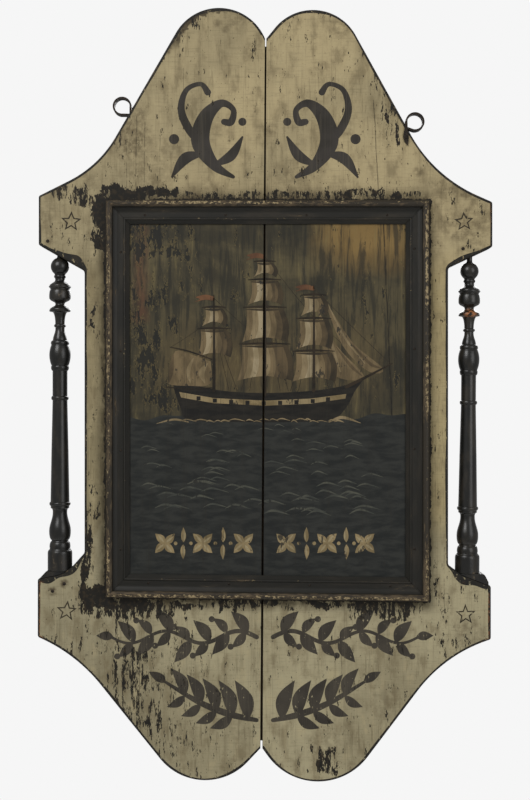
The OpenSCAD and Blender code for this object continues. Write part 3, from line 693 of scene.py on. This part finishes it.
def paint_layer(name, shapes, level, side, material, slot):
    """One piece of paint on a face. A shape is an outline and its holes. Level is the height in millimetres."""
    corners, polygons = [], []
    for count, shape in enumerate(shapes):
        # Shapes with holes lie clear of the seam
        outlines = [[part] for part in split_at_seam(shape[0], side)] if len(shape) == 1 else [shape]
        for outline in outlines:
            mesh = filled(outline, PAINT_ROOT, (level + count * SHAPE_STEP) / 1000)
            first = len(corners)
            corners += [v.co.copy() for v in mesh.vertices]
            polygons += [[first + i for i in p.vertices] for p in mesh.polygons]
            bpy.data.meshes.remove(mesh)
    turn = Matrix.Rotation(math.pi if side == BACK else 0, 4, "Z") @ Matrix.Rotation(math.pi / 2, 4, "X")
    place = Matrix.Translation((0, side * FACE, 0)) @ turn
    layer = bpy.data.meshes.new(name)
    layer.from_pydata([place @ c for c in corners], [], polygons)
    layer.update()
    layer.materials.append(material)
    piece = bpy.data.objects.new(name, layer)
    bpy.context.scene.collection.objects.link(piece)
    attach(piece, "root")


def smooth_path(points, per_span=8):
    """Points along a smooth curve through the given ones."""
    ends = [points[0], *points, points[-1]]
    path = []
    for a, b, c, d in zip(ends, ends[1:], ends[2:], ends[3:]):
        for i in range(per_span):
            t = i / per_span
            path.append(tuple(
                0.5 * ((2 * q) + (r - p) * t + (2 * p - 5 * q + 4 * r - s) * t * t + (3 * q - p - 3 * r + s) * t ** 3)
                for p, q, r, s in zip(a, b, c, d)
            ))
    return path + [tuple(points[-1])]


def smooth_loop(points, per_span):
    """A closed outline through the points, with a corner at the first."""
    return smooth_path([*points, points[0]], per_span)[:-1]


def direction(path, i):
    """The unit vector along a path at its point i."""
    a, b = path[max(i - 1, 0)], path[min(i + 1, len(path) - 1)]
    return Vector((b[0] - a[0], b[1] - a[1])).normalized()


def stroke(points):
    """The outline of one brush stroke through points of u, v and width, with rounded ends."""
    path = [(u, v, max(width, 0.3) / 2) for u, v, width in smooth_path(points)]
    left, right = [], []
    for i, (u, v, half) in enumerate(path):
        along = direction(path, i)
        left.append((u - along.y * half, v + along.x * half))
        right.append((u + along.y * half, v - along.x * half))

    def cap(end, inner):
        (u, v, half), a = path[end], path[inner]
        start = math.atan2(v - a[1], u - a[0])
        turns = (math.pi / 3, math.pi / 6, 0, -math.pi / 6, -math.pi / 3)
        return [(u + half * math.cos(start + turn), v + half * math.sin(start + turn)) for turn in turns]

    return left + cap(-1, -2) + right[::-1] + cap(0, 1)


def strokes(*lines):
    """One shape for each line's brush stroke."""
    return [[stroke(line)] for line in lines]


def round_dot(u, v, radius, count=20):
    turns = [2 * math.pi * i / count for i in range(count)]
    return [(u + radius * math.cos(turn), v + radius * math.sin(turn)) for turn in turns]


def moved(loop, du, dv, turn=0.0, mirror=False):
    """An outline turned by some degrees, mirrored and moved."""
    c, s = math.cos(math.radians(turn)), math.sin(math.radians(turn))
    flipped = [(-u if mirror else u, v) for u, v in loop]
    return [(c * u - s * v + du, s * u + c * v + dv) for u, v in flipped]


def leaf(length, width, bend=0.0):
    """A pointed brushed leaf from the origin along u."""

    def edge(shares, half):
        return [(length * t, bend * math.sin(math.pi * t) + half * math.sin(math.pi * t ** 0.8)) for t in shares]

    return edge(np.linspace(0, 1, 13), width / 2) + edge(np.linspace(1, 0, 13)[1:-1], -0.75 * width / 2)


def both_ways(loops):
    """The given outlines and their mirror images across the middle."""
    return [[loop] for loop in loops] + [[moved(loop, 0, 0, mirror=True)] for loop in loops]


# The black border, drawn inwards from the outline of each plank's face


def face_outline(plank, side):
    """The outer outline of one plank's flat face, as seen from that face, in millimetres."""
    mesh = NODES[plank].data
    used = set()
    for polygon in mesh.polygons:
        corners = [mesh.vertices[i].co for i in polygon.vertices]
        if polygon.normal.y * side < 0.999 or any(abs(c.y - side * FACE) > NEAR_FACE for c in corners):
            continue
        # In hundredths of a millimetre, so that corners that polygons share are equal
        keys = [(round(c.x * 1e5), round(c.z * 1e5)) for c in corners]
        used |= set(zip(keys, keys[1:] + keys[:1]))
    following = {a: b for a, b in used if (b, a) not in used}
    loops = []
    while following:
        start = min(following)
        loop, here = [start], following.pop(start)
        while here != start and here in following:
            loop.append(here)
            here = following.pop(here)
        loops.append(loop)
    return [(-side * x / 100, z / 100) for x, z in max(loops, key=len)]


# The straight edge at the seam: how near to the middle it lies, and between which heights
SEAM_REACH, SEAM_FOOT, SEAM_TOP = 14, -700, 705


def on_seam(point):
    return abs(point[0]) < SEAM_REACH and SEAM_FOOT < point[1] < SEAM_TOP


def outer_run(loop):
    """The outline without its straight edge at the seam, from one notch to the other."""
    start = next(i for i, point in enumerate(loop) if on_seam(point) and not on_seam(loop[(i + 1) % len(loop)]))
    turned = loop[start:] + loop[:start]
    stop = next(i for i, point in enumerate(turned) if i and on_seam(point))
    return turned[: stop + 1]


def evenly(points, step):
    """Points at even distances along a line."""
    out, carry = [points[0]], 0.0
    for (au, av), (bu, bv) in zip(points, points[1:]):
        length = math.hypot(bu - au, bv - av)
        at = step - carry
        while at < length:
            out.append((au + (bu - au) * at / length, av + (bv - av) * at / length))
            at += step
        carry = (carry + length) % step if length else carry
    return out + [points[-1]]


BORDER_STEP = 3.0
BORDER_WIDTH, NARROWEST = 1.9, 0.9

# Wide places in the border: u, v, reach along the edge, extra width
WIDE_BORDER = [
    (-372, 260, 34, 15), (-400, 275, 26, 5), (385, 268, 46, 5), (-372, -352, 40, 10), (-425, -362, 26, 8),
    (392, -362, 40, 12), (430, -374, 22, 5), (-100, 745, 50, 3.5), (100, 742, 44, 2.5), (-160, 690, 40, 3),
]


def border_width(u, v, wobble):
    width = BORDER_WIDTH + wobble
    for cu, cv, reach, extra in WIDE_BORDER:
        near = max(0.0, 1 - math.hypot(u - cu, v - cv) / reach)
        width += extra * near * near * (3 - 2 * near)
    return max(NARROWEST, width)


def border_shape(plank, side):
    """The border along one plank: its outline and, backwards, the uneven line that the black paint ends on."""
    run = evenly(outer_run(face_outline(plank, side)), BORDER_STEP)
    line = np.array(run)
    chance = random.Random(plank + str(side))
    phases = [(chance.uniform(0, 6.28), chance.uniform(9, 60)) for _ in range(5)]
    inner = []
    for i, (u, v) in enumerate(run):
        along = direction(run, i)
        wobble = sum(math.sin(i * BORDER_STEP / length + phase) for phase, length in phases) * 0.28
        width = border_width(u, v, wobble)
        inner.append((u - along.y * width, v + along.x * width, width))
    # The outline runs anticlockwise on one plank and clockwise on the other, so this line may lie outside it
    shift = np.mean([(p[0] - q[0], p[1] - q[1]) for p, q in zip(inner, run)], axis=0)
    middle_of_plank = np.array([-side * PLANKS[plank] * 200, 0.0])
    if np.dot(shift, middle_of_plank - line.mean(0)) < 0:
        inner = [(2 * q[0] - p[0], 2 * q[1] - p[1], p[2]) for p, q in zip(inner, run)]
    # In narrow corners the line would cross itself, so points too near the outline are left out
    kept = [(u, v) for u, v, width in inner if np.hypot(line[:, 0] - u, line[:, 1] - v).min() > width * 0.93]
    return [run + kept[::-1]]


# Motifs on the cream


def star(u, v, size, tilt, chance):
    """A five-pointed star in a thin hand-drawn outline."""
    outer = []
    for i in range(10):
        radius, turn = size * (0.44 if i % 2 else 1), math.radians(36 * i + tilt)
        stray_u, stray_v = chance.uniform(-0.7, 0.7), chance.uniform(-0.7, 0.7)
        outer.append((u + radius * math.sin(turn) + stray_u, v + radius * math.cos(turn) + stray_v))
    inner = [(u + (p[0] - u) * 0.69 + chance.uniform(-0.4, 0.4), v + (p[1] - v) * 0.69) for p in outer]
    return [outer, inner]


# The stars in the ears: u, v, size, tilt
STARS = [(-380, 338, 21, 2), (391, 338, 20, -3), (-388.5, -426, 21, 4), (394, -433, 21, -2)]

# A bold scroll with leaves, about its own middle
SCROLL = [
    stroke([
        (-50, -86, 7), (-14, -64, 20), (14, -18, 36), (4, 30, 30), (-26, 58, 16), (-50, 46, 11), (-46, 22, 14),
        (-32, 22, 12),
    ]),
    stroke([(6, -30, 10), (36, 6, 16), (52, 46, 14), (42, 84, 10), (14, 96, 9), (0, 80, 13)]),
    stroke([(-14, -62, 7), (-46, -44, 20), (-68, -8, 4)]),
    stroke([(12, -42, 7), (44, -50, 22), (70, -86, 4)]),
    round_dot(66, -12, 10),
    round_dot(-68, 22, 8),
]
SCROLL_PLACE = (112, 512)
VINE_HEIGHT = -477
ROSETTE_HEIGHT = -293


def vine_motifs():
    """A waving stem with bold leaves and berries, from beside the seam outwards."""

    def stem(t):
        return 16 + 285 * t, VINE_HEIGHT + 12 * math.sin(4 * math.pi * t)

    parts = [stroke([(*stem(i / 28), 9 - 4 * i / 28) for i in range(29)])]
    for k, t in enumerate((0.06, 0.19, 0.32, 0.45, 0.58, 0.71, 0.84)):
        u, v = stem(t)
        up = -1 if k % 2 else 1
        parts.append(moved(leaf(54, 27, 3 * up), u, v, 52 * up))
        parts.append(moved(leaf(40, 21, -3 * up), u + 4, v, -46 * up))
        parts.append(round_dot(u + 34, v - 27 * up, 6.0))
    parts.append(moved(leaf(34, 20), 297, VINE_HEIGHT, 5))
    return both_ways(parts)


def spray_motifs():
    """Two slanted sprays of broad leaves below."""
    parts = [stroke([(16, -640, 8), (70, -628, 13), (130, -604, 11), (200, -562, 5)])]
    for k, t in enumerate((0.08, 0.25, 0.42, 0.59, 0.76)):
        u, v = 18 + 182 * t, -640 + 12 * t + 66 * t * t
        parts.append(moved(leaf(84 - 30 * t, 34 - 10 * t, 6), u, v, 72 - 12 * t))
        if k:
            parts.append(moved(leaf(54 - 16 * t, 25 - 7 * t, -5), u, v, -26 - 6 * t))
    parts.append(moved(leaf(40, 20), 194, -566, 32))
    return both_ways(parts)


def rosette_motifs():
    """A row of rosettes and leaves in ochre along the foot of the picture, and their pale strokes."""
    golden, pale = [], []
    for u in (42, 122, 196):
        for turn in (45, 135, 225, 315):
            golden.append(moved(leaf(27, 17), u, 0, turn))
            pale.append(moved(moved(leaf(19, 5), 3, 0, 7), u, 0, turn))
        golden.append(round_dot(u, 0, 6))
    for u in (82, 160):
        for up in (1, -1):
            golden.append(moved(leaf(30, 11), u, 2 * up, 90 * up))
            pale.append(moved(leaf(20, 3.5), u - 2, 5 * up, 90 * up + 4))
        golden += [round_dot(u - 15, 0, 3.6), round_dot(u + 15, 0, 3.6)]
    return [both_ways([moved(loop, 0, ROSETTE_HEIGHT) for loop in loops]) for loops in (golden, pale)]


# The picture in the panel: a ship under sail

# The light on a sail is full at WINDWARD and gone at LEE, in shares of the sail's half width
WINDWARD, LEE = -0.4, 0.9


def sail_cloths(middle, top, half_top, foot, half_foot):
    """A square sail in upright cloths: a list of the number of each cloth's tone and its outline."""
    count = max(5, round(half_foot / 6))

    def at(across, down):
        half = half_top + (half_foot - half_top) * down
        bulge = 7 * (0.8 + 0.2 * across) * math.sin(math.pi * down)
        arch = 9 * math.cos(across * math.pi / 2) * down ** 3
        return middle + half * across + bulge, top + (foot - top) * down + arch

    cloths = []
    rows = np.linspace(0, 1, 9)
    for k in range(count):
        left, right = 2 * k / count - 1, 2 * (k + 1) / count - 1
        centre = (left + right) / 2
        if centre < WINDWARD:
            light = 1 - 0.55 * (WINDWARD - centre) / (WINDWARD + 1)
        else:
            light = 1 - (centre - WINDWARD) / (LEE - WINDWARD)
        outline = [at(left, t) for t in rows] + [at(right, t) for t in rows[::-1]]
        cloths.append((min(4, max(0, round(4 * light))), outline))
    return cloths


# Square sails: middle u, top v, half width there, foot v, half width there
SAILS = [
    (0, 96, 44, 26, 54), (0, 168, 36, 102, 44), (0, 222, 26, 175, 33), (0, 258, 15, 229, 22),
    (96, 82, 35, 24, 42), (96, 146, 28, 88, 34), (96, 192, 19, 153, 25),
    (-100, 126, 26, 72, 33), (-100, 168, 17, 133, 23),
]
JIBS = [
    [(104, 168), (140, 96), (196, 34), (150, 30), (120, 62)],
    [(112, 196), (170, 104), (232, 50), (204, 44), (152, 96)],
]
SPANKER = [(-106, 64), (-140, 76), (-176, 84), (-182, 40), (-190, 20), (-150, 16), (-107, 20)]
# Masts: u, v of the foot, v of the top
MASTS = [(0, -2, 276), (96, 6, 214), (-100, 6, 194)]
# Stays: u, v of one end, then of the other
STAYS = [(0, 270, 96, 150), (96, 208, 246, 60), (96, 150, 215, 44), (-100, 188, 0, 100), (-100, 150, -184, 92)]
HULL = smooth_loop([
    (-182, 30), (-176, 2), (-164, -30), (-150, -50), (-60, -55), (60, -55), (132, -50), (160, -26), (176, 4), (190, 28),
    (150, 15), (90, 6), (0, 2), (-80, 6), (-140, 18),
], 5)
STRIPE = [(-168, 4), (-100, -8), (0, -13), (90, -9), (160, 0), (158, -9), (90, -19), (0, -23), (-100, -18), (-164, -7)]
PORTS = [
    (-130, -8.5), (-98, -13), (-66, -15.5), (-34, -17.3), (-2, -18), (30, -17.4), (62, -16), (94, -14), (124, -10.5),
]
# A pennant, from the top of its mast
PENNANT = [(0, -3), (-16, 1), (-36, -4), (-27, -8), (-37, -13), (-16, -9), (0, -11)]


def sail_shapes():
    """The shapes of the sails, by tone."""
    shapes = {tone: [] for tone in TONES}
    shapes["middle"] += [[smooth_loop(sail, 4)] for sail in (*JIBS, SPANKER)]
    for middle, top, half_top, foot, half_foot in SAILS:
        for number, outline in sail_cloths(middle, top, half_top, foot, half_foot):
            shapes[TONES[number]].append([outline])
        shapes["deep_shade"] += strokes(
            [(middle - half_top, top - 2, 1.5), (middle, top - 3, 5), (middle + half_top, top - 2, 2)]
        )
    shapes["shade"] += strokes(
        [(-180, 76, 3), (-184, 44, 9), (-188, 24, 3)],
        [(172, 96, 2), (206, 60, 6), (226, 51, 2)],
        [(140, 92, 2), (168, 56, 6), (190, 36, 2)],
    )
    shapes["light"] += strokes(
        [(-112, 60, 2), (-124, 42, 12), (-118, 22, 2)],
        [(-140, 70, 2), (-150, 46, 8), (-146, 22, 2)],
        [(112, 150, 1.5), (132, 96, 5), (148, 44, 3)],
        [(124, 176, 1.5), (156, 112, 4), (196, 60, 2)],
    )
    return shapes


def spar_shapes():
    """Masts, yards, bowsprit, gaff and boom."""
    return strokes(
        *([(u, low, 6), (u + 0.5, (low + high) / 2, 4.5), (u, high, 2)] for u, low, high in MASTS),
        *(
            [(u - half - 6, top + 2, 1.5), (u, top + 3.5, 4), (u + half + 6, top + 2, 1.5)]
            for u, top, half, _, _ in SAILS
        ),
        [(160, 14, 7), (200, 34, 5), (250, 60, 2)],
        [(-104, 68, 2), (-150, 84, 3), (-186, 92, 1.5)],
        [(-104, 12, 2), (-150, 10, 3), (-196, 14, 1.5)],
    )


def rigging_shapes():
    """Shrouds and stays."""
    return strokes(
        *(
            [(u + spread, 6, 0.9), (u + spread * 0.5, high * 0.36, 0.9), (u, high * 0.7, 0.7)]
            for u, _, high in MASTS for spread in (-46, -30, 30, 46)
        ),
        *([(u0, v0, 0.8), ((u0 + u1) / 2, (v0 + v1) / 2 - 2, 0.8), (u1, v1, 0.8)] for u0, v0, u1, v1 in STAYS),
    )


def sea_top(u):
    return -44 + 5 * math.sin(u / 31) + 3 * math.sin(u / 11 + 1)


def wave_shapes(chance):
    """Short tapered strokes for the crests of waves, closer together towards the horizon."""
    shapes = []
    for _ in range(88):
        depth = chance.random() ** 0.8
        v = -58 - 180 * depth
        u = chance.uniform(-246, 256)
        length = chance.uniform(14, 30) + 34 * depth
        rise = chance.uniform(2, 4) + 5 * depth
        width = chance.uniform(1.2, 2.2) + 2.6 * depth
        half = length / 2
        if abs(u) + half < 250:
            shapes += strokes([(u - half, v, 0.6), (u - length * 0.1, v + rise, width), (u + half, v - 1, 0.6)])
    return shapes


def foam_shapes(chance):
    """Foam along the hull, with the waves at bow and stern."""
    shapes = []
    u = -166
    while u < 150:
        length = chance.uniform(12, 34)
        v = -53 + chance.uniform(-2, 2)
        rise, width = chance.uniform(1.5, 4), chance.uniform(1.6, 3.4)
        shapes += strokes([(u, v, 0.8), (u + 0.4 * length, v + rise, width), (u + length, v - 1, 0.8)])
        u += length * chance.uniform(0.7, 1.1)
    bow, stern = [(126, -55, 2), (152, -46, 6), (188, -57, 1)], [(-150, -55, 2), (-178, -50, 4), (-212, -58, 1)]
    return shapes + strokes(bow, stern)


PANEL_FOOT = -356
UNDER_MOULDING = 4


def panel_rectangle(side):
    """The picture's ground, reaching just under the moulding, as seen from that face: two values of u, two of v."""
    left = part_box("front_frame_left")[1].x * 1000 - UNDER_MOULDING
    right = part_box("front_frame_right")[0].x * 1000 + UNDER_MOULDING
    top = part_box("front_frame_top")[0].z * 1000 + UNDER_MOULDING
    return *sorted((-side * left, -side * right)), PANEL_FOOT - UNDER_MOULDING, top


# The layers of paint: name, shapes, height above the face in millimetres, paint and material slot
BLACK, PALE = "black_painted_wood", "cream_painted_wood"  # material slots
SAIL_LEVELS = {"middle": 0.34, "light": 0.42, "bright": 0.40, "shade": 0.46, "deep_shade": 0.48}
sails = sail_shapes()
ports = [[[(u - 4, v - 4), (u + 4, v - 4), (u + 4, v + 4), (u - 4, v + 4)]] for u, v in PORTS]
pennants = [[smooth_loop(moved(PENNANT, u, high), 3)] for u, _, high in MASTS]
golden, pale = rosette_motifs()
for face, side in FACES.items():
    star_chance, sea_chance = random.Random(face), random.Random(5)
    u0, u1, v0, v1 = panel_rectangle(side)
    horizon = [(u, sea_top(u)) for u in np.linspace(u1, u0, 70)]
    for name, shapes, level, material, slot in (
        *((f"border_{plank}", [border_shape(plank, side)], 0.10, border_paint, BLACK) for plank in PLANKS),
        ("stars", [star(*place, star_chance) for place in STARS], 0.12, star_paint, BLACK),
        ("scrolls", both_ways([moved(loop, *SCROLL_PLACE) for loop in SCROLL]), 0.15, motif_paint, BLACK),
        ("vine", vine_motifs(), 0.15, faded_motif_paint, BLACK),
        ("sprays", spray_motifs(), 0.15, faded_motif_paint, BLACK),
        ("sky", [[[(u0, v0), (u1, v0), (u1, v1), (u0, v1)]]], 0.10, sky_paint, PALE),
        ("sea", [[[(u0, v0), (u1, v0)] + horizon]], 0.16, sea_paint, BLACK),
        ("waves", wave_shapes(sea_chance), 0.20, sea_crest_paint, BLACK),
        ("ship_hull", [[HULL]], 0.22, hull_paint, BLACK),
        ("ship_stripe", [[STRIPE]], 0.27, ochre_paint, BLACK),
        ("ship_gunports", ports, 0.30, hull_paint, BLACK),
        ("ship_rigging", rigging_shapes(), 0.22, spar_paint, BLACK),
        *((f"sails_{tone}", sails[tone], SAIL_LEVELS[tone], sail_paints[tone], PALE) for tone in SAIL_LEVELS),
        ("ship_spars", spar_shapes(), 0.60, spar_paint, BLACK),
        ("ship_pennants", pennants, 0.60, pennant_paint, PALE),
        ("ship_foam", foam_shapes(sea_chance), 0.40, sail_paints["light"], PALE),
        ("rosettes", golden, 0.30, ochre_paint, PALE),
        ("rosette_lights", pale, 0.45, pale_ochre_paint, PALE),
    ):
        paint_layer(f"{face}_{name}", shapes, level, side, material, slot)


# Floor, light and camera

FLOOR_RADIUS, FLOOR_HEIGHT = 1.75, -1.4
floor_material = bpy.data.materials.new("pale_floor")
floor_material.use_nodes = True
floor_finish = floor_material.node_tree.nodes["Principled BSDF"].inputs
floor_finish["Base Color"].default_value = (0.82, 0.82, 0.81, 1)
floor_finish["Roughness"].default_value = 0.9
floor_mesh = bpy.data.meshes.new("floor")
floor_rim = [(u, v, FLOOR_HEIGHT) for u, v in round_dot(0, 0, FLOOR_RADIUS, 120)]
floor_mesh.from_pydata(floor_rim, [], [list(range(len(floor_rim)))])
floor_mesh.materials.append(floor_material)
floor = bpy.data.objects.new("floor", floor_mesh)
bpy.context.scene.collection.objects.link(floor)


def soft_light(name, place, size, power):
    """A rectangular lamp that points at the middle of the sign."""
    lamp = bpy.data.lights.new(name, "AREA")
    lamp.shape = "RECTANGLE"
    lamp.size, lamp.size_y = size
    lamp.energy = power
    made = bpy.data.objects.new(name, lamp)
    made.location = place
    made.rotation_euler = (-Vector(place)).to_track_quat("-Z", "Y").to_euler()
    bpy.context.scene.collection.objects.link(made)


soft_light("key_light", (-1.9, -2.7, 2.1), (1.8, 1.8), 84)
soft_light("fill_light", (2.2, -2.6, 0.6), (1.8, 2.4), 33)
soft_light("back_light", (0.8, 3.0, 1.6), (2.2, 2.2), 72)

# The camera sees a white world, and the sign is lit by a dimmer one
world = bpy.data.worlds.new("studio")
bpy.context.scene.world = world
world.use_nodes = True
studio = Net(world.node_tree)
rays = studio.add("ShaderNodeLightPath").outputs
white = world.node_tree.nodes["Background"]
white.inputs["Color"].default_value = srgb(246, 246, 246)
dim = studio.node("ShaderNodeBackground", {"Color": (1, 1, 1, 1), "Strength": 0.36})
seen = largest(*(Value(studio, rays[ray]) for ray in ("Is Camera Ray", "Is Transmission Ray")))
either = studio.node("ShaderNodeMixShader", {0: seen, 1: dim, 2: Value(studio, white.outputs[0])})
studio.feed(world.node_tree.nodes["World Output"].inputs["Surface"], either)

SENSOR, DISTANCE = 36, 2.4
PIXEL, PIXELS_HIGH = 0.001964, 800
CLOSER = 1.001  # a trifle, so that the outline fits the photo's
AIM_X, AIM_Z = 0.0004, -0.0118  # the middle of the photo on the sign
lens = bpy.data.cameras.new("camera")
lens.sensor_width = SENSOR
lens.lens = SENSOR * DISTANCE / (PIXELS_HIGH * PIXEL) * CLOSER
camera = bpy.data.objects.new("camera", lens)
camera.location = (AIM_X, -DISTANCE - FACE, AIM_Z)
camera.rotation_euler = (math.pi / 2, 0, 0)
bpy.context.scene.collection.objects.link(camera)
bpy.context.scene.camera = camera
bpy.context.scene.view_settings.view_transform = "Standard"
